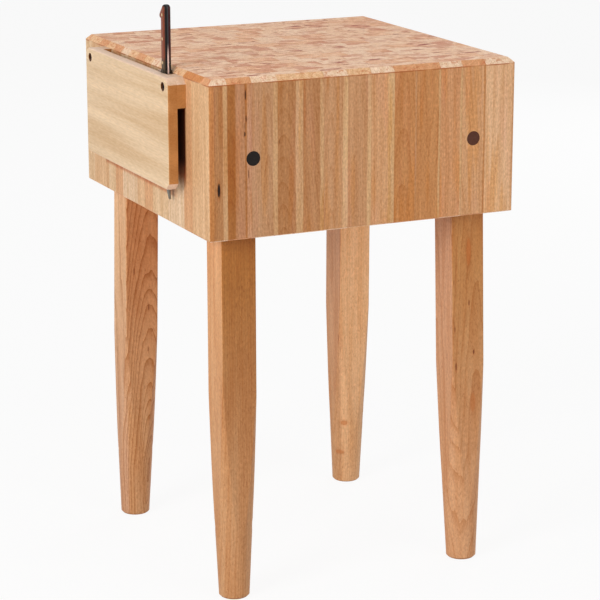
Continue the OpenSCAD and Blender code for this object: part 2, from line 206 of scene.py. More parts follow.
class Graph:
    """The nodes of a material or of the world."""

    def __init__(self, owner: bpy.types.Material | bpy.types.World) -> None:
        """Empties the owner's nodes.

        Args:
            owner: The material or the world.
        """
        self.owner = owner
        owner.use_nodes = True
        self.tree = owner.node_tree
        self.tree.nodes.clear()

    @classmethod
    def of_material(cls, name: str) -> "Graph":
        """Makes an empty material with this name."""
        return cls(bpy.data.materials.new(name))

    def add(self, kind: str, settings: dict | None = None, inputs: dict | None = None,
            output: int | str = 0) -> Wire:
        """Adds one node.

        Args:
            kind: The node's type, without its ShaderNode prefix.
            settings: The node's settings, which are set first.
            inputs: Values, colours or links of its sockets, by name or number.
            output: Name or number of the output socket to return.

        Returns:
            The output socket.
        """
        node = self.tree.nodes.new("ShaderNode" + kind)
        for key, value in (settings or {}).items():
            setattr(node, key, value)
        for key, value in (inputs or {}).items():
            self._feed(node.inputs[key], value)
        return Wire(self, node.outputs[output] if node.outputs else node.inputs[0])

    def _feed(self, socket: bpy.types.NodeSocket, value: object) -> None:
        """Links a wire to a socket, or sets the socket's own value."""
        if isinstance(value, Wire):
            self.tree.links.new(value.socket, socket)
            return
        if isinstance(value, Tone):
            value = value.linear
        socket.default_value = (*value, 1.0) if socket.type == "RGBA" else value

    def math(self, operation: str, *values: Value) -> Wire:
        """Adds a Math node."""
        return self.add("Math", {"operation": operation}, dict(enumerate(values)))

    def mix(self, factor: Value, first: "Paint", second: "Paint", blend: str = "MIX") -> Wire:
        """Mixes two colours.

        Args:
            factor: Share of the second colour.
            first: The colour at 0.
            second: The colour at 1.
            blend: How the second colour is laid over the first.

        Returns:
            The mixed colour.
        """
        return self.add("Mix", {"data_type": "RGBA", "blend_type": blend},
                        {0: factor, 6: first, 7: second}, 2)

    def stain_and_shade(self, colour: "Paint", stain_and_shade: Colour, factor: Value) -> Wire:
        """Multiplies a colour by another colour, as far as the factor says; it lays real stains and painted
        shade alike.
        """
        return self.mix(factor, colour, stain_and_shade, "MULTIPLY")

    def dim(self, colour: "Paint", share: Wire) -> Wire:
        """Makes a colour lighter or darker by a share of itself."""
        return self.add("VectorMath", {"operation": "SCALE"}, {0: colour, "Scale": share})

    def vector(self, x: Value, y: Value, z: Value) -> Wire:
        """Joins three numbers to a vector."""
        return self.add("CombineXYZ", None, {0: x, 1: y, 2: z})

    def split(self, vector: Wire) -> tuple[Wire, Wire, Wire]:
        """Takes a vector apart."""
        first = self.add("SeparateXYZ", None, {0: vector})
        outputs = first.socket.node.outputs
        return first, Wire(self, outputs[1]), Wire(self, outputs[2])

    def place(self) -> tuple[Wire, Wire, Wire]:
        """Gives the place on the object, in metres."""
        return self.split(self.add("TexCoord", output="Object"))

    def normal(self) -> tuple[Wire, Wire, Wire]:
        """Gives the surface's direction on the object."""
        return self.split(self.add("TexCoord", output="Normal"))

    def noise(self, x: Value, y: Value, z: Value, detail: float = 2.0) -> Wire:
        """Gives a smooth noise around 0.5, whose grains are about one unit of x, y and z."""
        return self.add("TexNoise", None, {"Vector": self.vector(x, y, z), "Scale": 1.0,
                                           "Detail": detail, "Roughness": 0.5})

    def chance(self, x: Value, y: Value, z: Value) -> Wire:
        """Gives one random number from 0 to 1 for each vector."""
        return self.add("TexWhiteNoise", {"noise_dimensions": "3D"}, {"Vector": self.vector(x, y, z)})

    def table(self, key: Wire, colours: list[Colour]) -> Wire:
        """Looks up a colour by a whole number, given as a share of TABLE_SIZE."""
        found = self.add("ValToRGB", None, {0: key})
        ramp = found.socket.node.color_ramp
        ramp.interpolation = "CONSTANT"
        while len(ramp.elements) < len(colours):
            ramp.elements.new(1.0)
        for index, (element, colour) in enumerate(zip(ramp.elements, colours)):
            element.position = max(0.0, (index - 0.5) / TABLE_SIZE)
            element.color = (*colour, 1.0)
        return found

    def bump(self, height: Wire, depth: float, strength: float) -> Wire:
        """Turns a height into a surface direction.

        Args:
            height: The height, as a share of the depth.
            depth: The depth in metres.
            strength: Share of the effect.

        Returns:
            The surface direction.
        """
        return self.add("Bump", None, {"Strength": strength, "Distance": depth, "Height": height})

    def surface(self, gloss: float = 0.5, **sockets: object) -> bpy.types.Material:
        """Ends the material with its shader.

        Args:
            gloss: The shader's specular level.
            sockets: Values or links of its other sockets, with _ for each space in a name.

        Returns:
            The finished material.
        """
        inputs = {key.replace("_", " "): value for key, value in sockets.items()}
        inputs["Specular IOR Level"] = gloss
        shader = self.add("BsdfPrincipled", None, inputs)
        self.add("OutputMaterial", None, {"Surface": shader})
        return self.owner


Paint = Wire | Tone | Colour


# --- wood

@dataclass(frozen=True)
class Tree:
    """Where a piece of wood was in its tree: the pith beside it, and how the pith leans along it."""

    first: Value
    second: Value
    lean_first: Value = 0.0
    lean_second: Value = 0.0

    def radius(self, across: tuple[Wire, Wire], along: Wire) -> Wire:
        """Gives the distance from the pith."""
        first = across[0] - self.first - along * self.lean_first
        second = across[1] - self.second - along * self.lean_second
        return (first * first + second * second).root()


@dataclass(frozen=True)
class Figure:
    """How strongly a wood's figure shows.

    Lengths are in metres, and strengths are shares of the tone. A grain is a number of marks per metre
    across the wood, and a run is one along it.
    """

    ring: float = 0.0028
    ring_strength: float = 0.16
    ring_edge: float = 5.0
    wave: float = 0.0035
    band: float = 0.01
    band_strength: float = 0.55
    speck: float = 0.003
    speck_strength: float = 0.85
    fibre_strength: float = 0.55
    fleck_strength: float = 0.22
    fleck_low: float = 0.63
    warmth: Colour = (1.0, 0.88, 0.74)
    bend_grain: float = 30.0
    bend_run: float = 7.0
    drift_grain: float = 55.0
    drift: float = 3.0
    band_run: float = 5.0
    speck_squash: float = 0.55
    fibre_grain: float = 1500.0
    fibre_run: float = 55.0
    fleck_grain: float = 620.0
    fleck_run: float = 150.0
    fleck_soft: float = 0.07
    darkening: float = 1.6
    seed_step: float = 17.0

    def paint(self, graph: Graph, colour: Paint, across: tuple[Wire, Wire], along: Wire,
              radius: Wire, seed: Value, stretch: float = 1.0) -> tuple[Wire, Wire]:
        """Draws rings, bands, specks, fibres and flecks on a tone.

        Args:
            graph: The material's nodes.
            colour: The wood's tone.
            across: The two coordinates across the grain, in metres.
            along: The coordinate along the grain, in metres.
            radius: The distance from the pith.
            seed: A number that sets this piece of wood apart from the others.
            stretch: How long the marks are along the grain.

        Returns:
            The colour, and the height of the surface from 0 to 1.
        """
        first, second = across
        move = seed * self.seed_step
        length = along / stretch
        bend = graph.noise(first * self.bend_grain + move, second * self.bend_grain,
                           length * self.bend_run, 3.0) - 0.5
        turns = (radius + bend * self.wave) / self.ring
        turns = turns + graph.noise(radius * self.drift_grain, move, 0.0) * self.drift
        late = turns.fraction() ** self.ring_edge
        band = graph.noise(first / self.band + move, second / self.band, length * self.band_run + move)
        speck = graph.noise(first / self.speck, second / self.speck,
                            length / self.speck * self.speck_squash + move)
        fibre = graph.noise(first * self.fibre_grain, second * self.fibre_grain,
                            length * self.fibre_run + move)
        fleck = graph.noise(first * self.fleck_grain, second * self.fleck_grain,
                            length * self.fleck_run + move)
        fleck = fleck.rise(self.fleck_low, self.fleck_low + self.fleck_soft)
        share = (1.0 + (band - 0.5) * self.band_strength + (speck - 0.5) * self.speck_strength
                 + (fibre - 0.5) * self.fibre_strength - late * self.ring_strength)
        colour = graph.dim(colour, graph.math("MAXIMUM", share, 1.0))
        colour = graph.stain_and_shade(colour, WARM_DARK, (1.0 - share) * self.darkening)
        colour = graph.stain_and_shade(colour, self.warmth, (1.0 - band).rise(0.35, 0.7) * 0.5 + late * 0.5)
        colour = graph.stain_and_shade(colour, FLECK_STAIN, fleck * self.fleck_strength)
        height = 1.0 - late * 0.3 - fleck * 0.5 + (fibre - 0.5) * 0.4
        return colour, height


@dataclass(frozen=True)
class Stave:
    """Tones of one stave: its face, the pale edge at its right and the bevel over it."""

    face: Tone
    edge: Tone
    edge_width: float
    bevel: Tone


@dataclass(frozen=True)
class Strip:
    """An upright strip of another tone in a row's face, from one distance to another."""

    start: float
    end: float
    tone: Tone
    strength: float


@dataclass(frozen=True)
class Mark:
    """A lens in a face, such as a knot, a mineral streak or a smear. Lengths are in metres."""

    across: float
    height: float
    width: float
    length: float
    strength: float
    tone: Tone = Tone.KNOT_BLACK
    ragged_grain: float = 700.0
    ragged_run: float = 300.0
    rim_reach: float = 2.0

    def lay(self, graph: Graph, wood: Paint, x: Wire, z: Wire, facing: Value = 1.0) -> Wire:
        """Draws the lens with a ragged edge and a warm rim.

        Args:
            graph: The material's nodes.
            wood: The wood's colour.
            x: Distance across the face.
            z: Height in the face.
            facing: 1 on the marked face and 0 elsewhere.

        Returns:
            The wood's colour with the lens on it.
        """
        ragged = graph.noise(x * self.ragged_grain, self.across * 90.0, z * self.ragged_run) - 0.5
        first, second = (x - self.across) / self.width, (z - self.height) / self.length
        away = (first * first + second * second).root() + ragged * 0.4
        rim = (1.0 - away.rise(0.8, self.rim_reach)) * facing
        wood = graph.stain_and_shade(wood, KNOT_STAIN, rim * self.strength * 0.8)
        return graph.mix((1.0 - away.rise(0.75, 1.05)) * facing * self.strength, wood, self.tone)


@dataclass(frozen=True)
class Slot:
    """The space behind the rack board: where it starts and ends, and its lower and upper edge.

    The other lengths say where its painted shade fades, and where the painted shadow line below the board
    lies.
    """

    near: float
    far: float
    low: float
    high: float
    soft: float = 0.008
    foot: float = 0.004
    fade: float = 0.05
    top: float = 0.02
    line_low: float = 0.0215
    line_high: float = 0.008
    line_soft: float = 0.0025
    line_near: float = 0.03
    line_full: float = 0.07

    def darken(self, graph: Graph, wood: Paint, y: Wire, z: Wire, facing: Wire) -> Wire:
        """Paints shade on the wood in the slot, and a thin painted shadow line below the board.

        Args:
            graph: The material's nodes.
            wood: The wood's colour.
            y: Distance along the slot.
            z: Height.
            facing: 1 on the face that looks into the slot and 0 elsewhere.

        Returns:
            The wood's colour with the shade on it.
        """
        ends = y.rise(self.near, self.near + self.soft) * (1.0 - y.rise(self.far - self.soft, self.far))
        depth = z.rise(self.low - self.foot, self.low + self.fade)
        depth = depth * (1.0 - z.rise(self.high - self.fade, self.high - self.top))
        line = z.within(self.low - self.line_low, self.low - self.line_high, self.line_soft)
        line = line * y.rise(self.near + self.line_near, self.near + self.line_full)
        # Painted shade: red-brown shade deepening down the slot, then a painted shadow line just below the
        # board.
        wood = graph.stain_and_shade(wood, RED_SHADE, depth.rise(0.0, 0.5) * ends * facing)
        wood = graph.stain_and_shade(wood, RED_SHADE, line * ends * facing * 0.8)
        # Painted shade: near-black deep in the slot.
        return graph.stain_and_shade(wood, SLOT_PAINTED_SHADE, depth * depth * ends * facing)


@dataclass(frozen=True)
class RowWood:
    """The maple of one row of staves, with grain that stands upright."""

    number: int
    joints: tuple[float, ...]
    staves: tuple[Stave, ...]
    flank: Tone
    flank_bevel: Tone
    middle: float
    half: float
    under: float
    bevel_foot: float
    slot: Slot
    strips: tuple[Strip, ...] = ()
    marks: tuple[Mark, ...] = ()
    glue: float = 0.00022
    pith_near: float = 0.018
    pith_spread: float = 0.045
    pith_lean: float = 0.16
    pith_side: float = 0.02
    pith_under: float = 0.12
    foot_height: float = 0.0012
    foot_soft: float = 0.001
    line_start: float = 0.0024
    line_full: float = 0.0012
    edge_grain: float = 90.0
    edge_run: float = 11.0
    edge_wander: float = 0.004
    edge_soft: float = 0.0008
    strip_soft: float = 0.0009
    blotch_grain: float = 120.0
    blotch_run: float = 170.0
    heart_least: float = -0.014
    heart_grain: float = 110.0
    heart_wander: float = 0.02
    smear_long: float = 34.0
    smear_short: float = 85.0
    mauve_share: float = 0.16
    gloss: float = 0.18
    roughness: float = 0.46
    cap_roughness: float = 0.14
    long_figure: Figure = Figure()
    cap_figure: Figure = Figure(ring=0.003, ring_strength=0.16, ring_edge=3.0, band=0.007,
                                band_strength=0.45, speck=0.0026, speck_strength=0.65, fleck_strength=0.1)

    def material(self) -> bpy.types.Material:
        """Makes the row's material."""
        graph = Graph.of_material(f"maple_row_{self.number:02d}")
        x, y, z = graph.place()
        count, right = self._stave_at(x)
        key = count / TABLE_SIZE
        rolls = [graph.chance(count, self.number, roll + 0.5) for roll in range(6)]
        reach = rolls[0] * self.pith_spread + self.pith_near
        turn = rolls[1] * math.tau
        tree = Tree(turn.cosine() * reach + right - self.pith_side, turn.sine() * reach + self.middle,
                    0.0, (rolls[2] - 0.5) * self.pith_lean)
        radius = tree.radius((x, y), z - self.under - self.pith_under)
        side_x, side_y, up = graph.normal()
        top = abs(up).rise(0.8, 0.95)
        bevel = abs(up).rise(0.3, 0.55)
        flank = abs(side_x).rise(0.6, 0.75)

        face = self._face(graph, x, z, key, right, rolls[3])
        # The faces that look to the sides take paler flank tones than the front: partly the wood's own
        # colour, partly painted light.
        face = graph.mix(flank, face, self.flank)
        wood, height = self.long_figure.paint(graph, face, (x, y), z, radius, rolls[3])
        for mark in self.marks:
            wood = mark.lay(graph, wood, x - self.joints[0], z - self.under)
        foot_top = self.under + self.foot_height
        foot = 1.0 - z.rise(foot_top, foot_top + self.foot_soft)
        line = z.rise(self.bevel_foot - self.line_start, self.bevel_foot - self.line_full)
        line = line * graph.noise(x * 30.0, y * 30.0, 0.5, 3.0).rise(0.3, 0.55)
        wood = graph.mix(line * 0.8 + foot * 0.5, wood, Tone.RUST_LINE)
        # Painted shade on the face that looks into the rack's slot, and a painted shadow line below the
        # board.
        wood = self.slot.darken(graph, wood, y, z, side_x < -0.5)

        cap, _ = self.cap_figure.paint(graph, self._cap(graph, x, y, radius, rolls), (x, y), z * 0.1,
                                       radius, rolls[4])
        rim = graph.mix((abs(side_x) > abs(side_y)) * 1.0,
                        graph.table(key, [stave.bevel.linear for stave in self.staves]), self.flank_bevel)
        blotch = graph.noise(x * self.blotch_grain, y * self.blotch_grain,
                             z * self.blotch_run + rolls[5], 3.0).rise(0.52, 0.66)
        rim = graph.mix(blotch * 0.6, rim, Tone.BLOTCH)
        rim, _ = self.cap_figure.paint(graph, rim, (x, y), z * 0.6, radius, rolls[5])
        colour = graph.mix(bevel, wood, rim)
        colour = graph.mix(top, colour, cap)
        seam = (right - x).rise(self.glue, self.glue * 3.0)
        between = (self.half - abs(y - self.middle)).rise(self.glue, self.glue * 3.0)
        seam = graph.math("MINIMUM", seam, graph.math("MAXIMUM", between, abs(side_y).rise(0.4, 0.6)))
        colour = graph.stain_and_shade(colour, GLUE_STAIN, (1.0 - seam) * (top * 0.3 + 0.3))
        rough = height * 0.08 + top * self.cap_roughness + self.roughness
        return graph.surface(gloss=self.gloss, Base_Color=colour, Roughness=rough,
                             Normal=graph.bump(height, 0.0002, 0.5))

    def _stave_at(self, x: Wire) -> tuple[Wire, Wire]:
        """Finds the stave at a place.

        Args:
            x: Distance along the row.

        Returns:
            The stave's number from 0 at the left, and where its right joint is.
        """
        count: Value = 0.0
        right: Value = self.joints[1]
        for joint, following in zip(self.joints[1:-1], self.joints[2:]):
            passed = x > joint
            count = passed + count
            right = passed * (following - joint) + right
        return count, right

    def _face(self, graph: Graph, x: Wire, z: Wire, key: Wire, right: Wire, seed: Wire) -> Wire:
        """Gives the tone of the row's face, with the staves' pale edges and the strips."""
        face = graph.table(key, [stave.face.linear for stave in self.staves])
        edge = graph.table(key, [stave.edge.linear for stave in self.staves])
        width = graph.table(key, [(stave.edge_width * EDGE_SCALE,) * 3 for stave in self.staves])
        width = width * (1.0 / EDGE_SCALE)
        ragged = graph.noise(x * self.edge_grain, seed * 9.0, z * self.edge_run, 3.0)
        ragged = (ragged - 0.5) * self.edge_wander
        share = 1.0 - (right - x + ragged).rise(width - self.edge_soft, width + self.edge_soft)
        face = graph.mix(share, face, edge)
        left = self.joints[0]
        for strip in self.strips:
            share = (x + ragged).within(left + strip.start, left + strip.end, self.strip_soft)
            face = graph.mix(share * strip.strength, face, strip.tone)
        golden = graph.noise(x * 75.0 + seed * 31.0, seed * 9.0, z * 5.0, 1.0).rise(0.5, 0.66)
        rosy = graph.noise(x * 60.0 + seed * 13.0, seed * 5.0, z * 6.0, 1.0).rise(0.52, 0.68)
        face = graph.stain_and_shade(face, GOLD_STAIN, golden * 0.8)
        return graph.stain_and_shade(face, ROSE_STAIN, rosy * 0.8)

    def _cap(self, graph: Graph, x: Wire, y: Wire, radius: Wire, rolls: list[Wire]) -> Wire:
        """Gives the tone of the staves' ends: sapwood, and heartwood inside a ring of its own."""
        sap = graph.mix(rolls[3].rise(0.2, 0.8), Tone.CAP_PALE, Tone.CAP_SAND)
        sap = graph.mix((rolls[4] > 0.75) * 0.8, sap, Tone.CAP_WARM)
        warp = graph.noise(x * self.heart_grain, y * self.heart_grain, rolls[5] * 9.0, 3.0)
        warp = (warp - 0.5) * self.heart_wander
        bound = rolls[0] * self.pith_spread + rolls[5] * self.pith_spread + self.heart_least
        heart = 1.0 - (radius + warp).rise(bound - 0.002, bound + 0.003)
        ends = graph.mix(heart * (rolls[2] * 0.75 + 0.15), sap, Tone.HEART)
        smear = graph.noise(x * self.smear_long + rolls[2] * 9.0, y * self.smear_short, rolls[1] * 9.0, 4.0)
        ends = graph.mix(smear.rise(0.5, 0.64) * 0.65, ends, Tone.HEART)
        ends = graph.mix((1.0 - smear.rise(0.36, 0.48)) * 0.55, ends, Tone.CAP_PALE)
        core = smear.rise(0.58, 0.66) * (rolls[4] < self.mauve_share)
        return graph.mix(core * 0.85, ends, Tone.MAUVE)


@dataclass(frozen=True)
class Pit:
    """A round counterbore in a face that looks to the side, with its radius and its floor."""

    y: float
    z: float
    radius: float
    rim_x: float

    def inside(self, place: tuple[Wire, Wire, Wire]) -> Wire:
        """Gives 1 in the counterbore and 0 elsewhere."""
        first, second = place[1] - self.y, place[2] - self.z
        reach = (first * first + second * second).root()
        return (reach < self.radius) * (place[0] > self.rim_x)


@dataclass(frozen=True)
class LongWood:
    """A piece of solid wood whose faces differ, such as a leg, a board or a handle."""

    name: str
    axis: int
    tones: tuple[Tone, Tone, Tone]
    tree: Tree
    figure: Figure
    seed: float
    low: float
    high: float
    far_tones: tuple[Tone, Tone, Tone] | None = None
    slot: Slot | None = None
    pits: tuple[Pit, ...] = ()
    marks: tuple[Mark, ...] = ()
    roughness: float = 0.42
    gloss: float = 0.25
    stretch: float = 1.0
    sharp: float = 0.62
    soft: float = 0.16
    pit_shade: float = 0.9

    def material(self) -> bpy.types.Material:
        """Makes the wood's material, with a tone for each direction and for each end."""
        graph = Graph.of_material(self.name)
        place, normal = graph.place(), graph.normal()
        across = tuple(place[axis] for axis in range(3) if axis != self.axis)
        along = place[self.axis]
        up = along.rise(self.low, self.high)
        side, face, end = [graph.mix(up, far, near)
                           for near, far in zip(self.tones, self.far_tones or self.tones)]
        # The faces that look to the sides take their own tone; on the legs and the left handle scale this is
        # painted light.
        tone = graph.mix(abs(normal[0]).rise(self.sharp, self.sharp + self.soft), face, side)
        tone = graph.mix(abs(normal[2]).rise(0.45, 0.6), tone, end)
        radius = self.tree.radius(across, along - self.low)
        colour, height = self.figure.paint(graph, tone, across, along, radius, self.seed, self.stretch)
        # Painted shade on the face that looks into the slot.
        if self.slot:
            colour = self.slot.darken(graph, colour, place[1], place[2], normal[0] > 0.5)
        # Painted shade inside the screw counterbores.
        for pit in self.pits:
            colour = graph.stain_and_shade(colour, SLOT_PAINTED_SHADE, pit.inside(place) * self.pit_shade)
        facing = normal[1] < -0.35 if self.marks else 0.0
        for mark in self.marks:
            colour = mark.lay(graph, colour, place[0], place[2], facing)
        return graph.surface(gloss=self.gloss, Base_Color=colour, Roughness=height * 0.1 + self.roughness,
                             Normal=graph.bump(height, 0.0002, 0.5))


# --- other finishes

class Brushing(Enum):
    """Direction of the brush marks on a metal, as the axis's number."""

    ALONG_Y = 1
    ALONG_Z = 2


@dataclass(frozen=True)
class Metal:
    """A metal with fine brush marks and a little tarnish."""

    name: str
    tone: Tone
    tarnish: Tone
    roughness: float
    metallic: float = 1.0
    brushing: Brushing = Brushing.ALONG_Z
    line_grain: float = 1400.0
    line_stretch: float = 0.03
    spot_grain: float = 120.0

    def material(self) -> bpy.types.Material:
        """Makes the metal's material."""
        graph = Graph.of_material(self.name)
        place = [part * self.line_grain for part in graph.place()]
        place[self.brushing.value] = place[self.brushing.value] * self.line_stretch
        lines = graph.noise(*place, 3.0)
        spots = graph.noise(*[part * self.spot_grain for part in graph.place()], 3.0).rise(0.45, 0.75)
        colour, metallic = self.tint(graph, graph.mix(spots * 0.6, self.tone, self.tarnish))
        rough = self.roughness + lines * 0.14 + spots * 0.08
        return graph.surface(Base_Color=colour, Metallic=metallic, Roughness=rough,
                             Normal=graph.bump(lines, 0.00003, 0.4))

    def tint(self, graph: Graph, colour: Wire) -> tuple[Wire, Value]:
        """Gives the colour and how metallic it is; a metal with parts of other colours overrides this.

        Args:
            graph: The material's nodes.
            colour: The metal's own colour.

        Returns:
            The colour, and the share of metal.
        """
        return colour, self.metallic


# --- sub-assemblies

def put(name: str, data: bpy.types.ID) -> bpy.types.Object:
    """Puts an object with this name and this data in the scene."""
    made = bpy.data.objects.new(name, data)
    bpy.context.collection.objects.link(made)
    return made


def dress(names: list[str], material: bpy.types.Material) -> None:
    """Gives CAD nodes a material.

    Args:
        names: The nodes.
        material: Their material.
    """
    for name in names:
        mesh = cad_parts[name].data
        mesh.materials.clear()
        mesh.materials.append(material)
        log.info("%s wears %s", name, material.name)


@dataclass
class Block:
    """The block: rows of staves, the plugs over its tie rods, and the rods."""

    seam: float = 0.00004
    top_bevel: float = 0.0085
    chooser: random.Random = field(default_factory=lambda: random.Random(TONE_SEED))
    front: tuple[Stave, ...] = tuple(
        Stave(*palette(names), width, Tone["BEVEL_" + bevel]) for names, width, bevel in (
            ("HAZEL BUFF", 0.0075, "CREAM"), ("AMBER ROSE_BUFF", 0.008, "ORANGE"),
            ("OCHRE BUFF", 0.008, "CREAM"), ("HAZEL BUFF", 0.013, "STRAW"),
            ("TAN BUFF", 0.007, "STRAW"), ("HONEY PALE_BUFF", 0.009, "CREAM"),
            ("HONEY PALE_BUFF", 0.007, "STRAW"), ("BISCUIT PALE_BUFF", 0.011, "CREAM"),
            ("RUSSET HONEY", 0.003, "ORANGE"), ("RUSSET PALE_BUFF", 0.0035, "ORANGE"),
            ("CARAMEL PALE_BUFF", 0.0035, "CREAM"), ("BISCUIT RUSSET", 0.003, "ORANGE"),
            ("WHEAT WHEAT", 0.0, "CREAM")))
    strips: tuple[Strip, ...] = (
        Strip(0.001, 0.0085, Tone.BAND_ORANGE, 0.7), Strip(0.009, 0.0102, Tone.AMBER, 0.8),
        Strip(0.032, 0.044, Tone.BAND_GOLD, 0.75), Strip(0.0455, 0.061, Tone.ROSE_BUFF, 0.45),
        Strip(0.535, 0.54, Tone.GINGER, 0.5))
    marks: tuple[Mark, ...] = (
        Mark(0.0166, 0.0816, 0.0025, 0.012, 1.0), Mark(0.0621, 0.228, 0.0013, 0.0085, 0.8),
        Mark(0.0631, 0.191, 0.0012, 0.006, 0.7), Mark(0.0612, 0.179, 0.0008, 0.0065, 0.45),
        Mark(0.0609, 0.1665, 0.0013, 0.004, 0.9), Mark(0.0669, 0.103, 0.0009, 0.007, 0.6),
        Mark(0.0622, 0.0885, 0.0007, 0.005, 0.35), Mark(0.1197, 0.1496, 0.0014, 0.003, 0.35))
    # Pale tones of the sides: partly the wood's own colour, partly painted light.
    flanks: tuple[Tone, ...] = palette(
        "SAND SAND PEACH CREAM CREAM STRAW STRAW PEACH SAND CREAM CREAM PEACH STRAW SAND SAND STRAW")
    flank_bevels: tuple[Tone, ...] = palette(
        "ORANGE RUST RUST STRAW STRAW STRAW CREAM STRAW ORANGE STRAW CREAM ORANGE STRAW ORANGE STRAW STRAW",
        "BEVEL_")

    def joints(self, name: str) -> tuple[float, ...]:
        """Finds where the staves of a row meet.

        Args:
            name: The row's node.

        Returns:
            The left face, each joint from left to right, and the right face, in metres.
        """
        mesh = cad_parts[name].data
        spans = sorted((min(xs), max(xs)) for xs in
                       ([mesh.vertices[i].co.x for i in face.vertices] for face in mesh.polygons))
        joints = [spans[0][0]]
        reach = spans[0][1]
        for low, high in spans:
            if low > reach + self.seam:
                joints.append((reach + low) / 2.0)
            reach = max(reach, high)
        return tuple(joints + [reach])

    def picked(self, count: int) -> tuple[Stave, ...]:
        """Picks the tones of a row behind the front.

        Args:
            count: How many staves it has.

        Returns:
            The staves' tones.
        """
        faces = palette("HAZEL TAN HONEY FAWN GINGER OAT")
        edges = palette("BUFF PALE_BUFF")
        bevels = palette("CREAM STRAW ORANGE", "BEVEL_")
        choose = self.chooser.choice
        return tuple(Stave(choose(faces), choose(edges), choose((0.0, 0.004, 0.008, 0.011)), choose(bevels))
                     for _ in range(count))

    def build(self) -> None:
        """Dresses the rows, the plugs and the rods."""
        board_low, board_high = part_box("rack_board")
        slot = Slot(board_low.y, board_high.y, board_low.z, board_high.z)
        for row, (flank, flank_bevel) in enumerate(zip(self.flanks, self.flank_bevels)):
            name = f"stave_row_{row + 1:02d}"
            joints = self.joints(name)
            low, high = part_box(name)
            front = row == 0
            wood = RowWood(row + 1, joints, self.front if front else self.picked(len(joints) - 1), flank,
                           flank_bevel, (low.y + high.y) / 2.0, (high.y - low.y) / 2.0, low.z,
                           high.z - self.top_bevel, slot,
                           self.strips if front else (), self.marks if front else ())
            dress([name], wood.material())
        for side, tone in (("left", Tone.EBONY), ("right", Tone.WALNUT)):
            low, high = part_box(f"plug_front_{side}")
            wood = LongWood(f"plug_{side}_wood", 1, (tone, tone, tone), Tree(low.x - 0.02, high.z + 0.01),
                            Figure(ring=0.0016, ring_strength=0.3, fleck_strength=0.5, speck=0.0012),
                            3.0, low.y, high.y, roughness=0.5, gloss=0.15)
            dress([f"plug_front_{side}", f"plug_back_{side}"], wood.material())
        steel = Metal("zinc_plated_steel", Tone.ZINC, Tone.DULL_ZINC, 0.28, brushing=Brushing.ALONG_Y)
        dress(["tie_rod_left", "tie_rod_right", "rod_washers", "rod_nuts"], steel.material())


@dataclass(frozen=True)
class LegLook:
    """How one leg looks: tones of its side, of its front above and at the foot, and its tree. The side
    tones, paler than the front's, are painted light.
    """

    name: str
    side: Tone
    front: Tone
    foot: Tone
    foot_side: Tone
    aside: float
    behind: float
    lean: float
    ring_strength: float
    marks: tuple[Mark, ...] = ()


@dataclass
class Legs:
    """The four legs, with their inserts and hanger bolts."""

    looks: tuple[LegLook, ...] = (
        LegLook("front_left", *palette("SIDE_TAN LEG_GOLD LEG_ROSE LEG_ROSE"), 0.06, 0.02, 0.02, 0.14),
        LegLook("front_right", *palette("SIDE_ROSE LEG_ORANGE LEG_SAND LEG_SAND"), 0.012, 0.05, 0.05, 0.22, (
                Mark(0.2237, 0.54, 0.0045, 0.026, 0.55, Tone.KNOT_RED),
                Mark(0.233, 0.28, 0.0055, 0.018, 0.35, Tone.KNOT_RED),
                Mark(0.2249, 0.4528, 0.0012, 0.005, 0.8, Tone.KNOT_BROWN),
                Mark(0.2343, 0.3673, 0.0016, 0.004, 0.9, Tone.KNOT_BROWN),
                Mark(0.201, 0.3453, 0.0014, 0.007, 0.9, Tone.KNOT_BROWN),
                Mark(0.1985, 0.4093, 0.0009, 0.005, 0.7, Tone.KNOT_BROWN),
                Mark(0.196, 0.49, 0.0008, 0.0045, 0.6, Tone.KNOT_BROWN))),
        LegLook("back_left", *palette("SIDE_PALE LEG_RUSSET LEG_ROSE SIDE_ROSE"), 0.012, 0.018, 0.07, 0.5, (
                Mark(-0.2073, 0.4566, 0.001, 0.006, 0.8, Tone.KNOT_BROWN),
                Mark(-0.1805, 0.3886, 0.0012, 0.006, 0.7, Tone.KNOT_BROWN),
                Mark(-0.1818, 0.3122, 0.001, 0.005, 0.6, Tone.KNOT_BROWN))),
        # The back right leg is paler than the others and lightest at the top of its front: partly its own
        # colour, partly painted light against the shade under the block.
        LegLook("back_right", *palette("SIDE_ROSE LEG_LIGHT LEG_PALE LEG_ROSE"), -0.07, 0.03, 0.03, 0.12, (
                Mark(0.1945, 0.2834, 0.0012, 0.011, 0.7, Tone.KNOT_BROWN),
                Mark(0.2099, 0.119, 0.006, 0.005, 0.5, Tone.KNOT_RED),
                Mark(0.206, 0.06, 0.006, 0.004, 0.45, Tone.KNOT_RED))))
    foot_end: float = 0.05
    top_end: float = 0.6
    lean_aside: float = 0.01
    first_seed: float = 1.7
    seed_step: float = 4.0

    def build(self) -> None:
        """Dresses each leg in wood of its own."""
        for number, look in enumerate(self.looks):
            low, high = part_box(f"leg_{look.name}")
            middle = (low + high) / 2.0
            figure = Figure(ring=0.0042, ring_strength=look.ring_strength, ring_edge=4.0, wave=0.006,
                            band=0.015, band_strength=0.35, speck_strength=0.6, fibre_strength=0.4,
                            fleck_strength=0.45, fleck_low=0.62, warmth=(1.0, 0.82, 0.62))
            wood = LongWood(f"maple_leg_{look.name}", 2, (look.side, look.front, Tone.END_GRAIN),
                            Tree(middle.x + look.aside, low.y + look.behind, self.lean_aside, look.lean),
                            figure, self.first_seed + number * self.seed_step, self.foot_end, self.top_end,
                            (look.foot_side, look.foot, Tone.END_GRAIN), marks=look.marks)
            dress([f"leg_{look.name}"], wood.material())
        dress(["leg_inserts"], Metal("insert_brass_finish", Tone.BRASS, Tone.DULL_BRASS, 0.32).material())
        dress(["hanger_bolts"], Metal("bolt_steel_finish", Tone.ZINC, Tone.DULL_ZINC, 0.3).material())


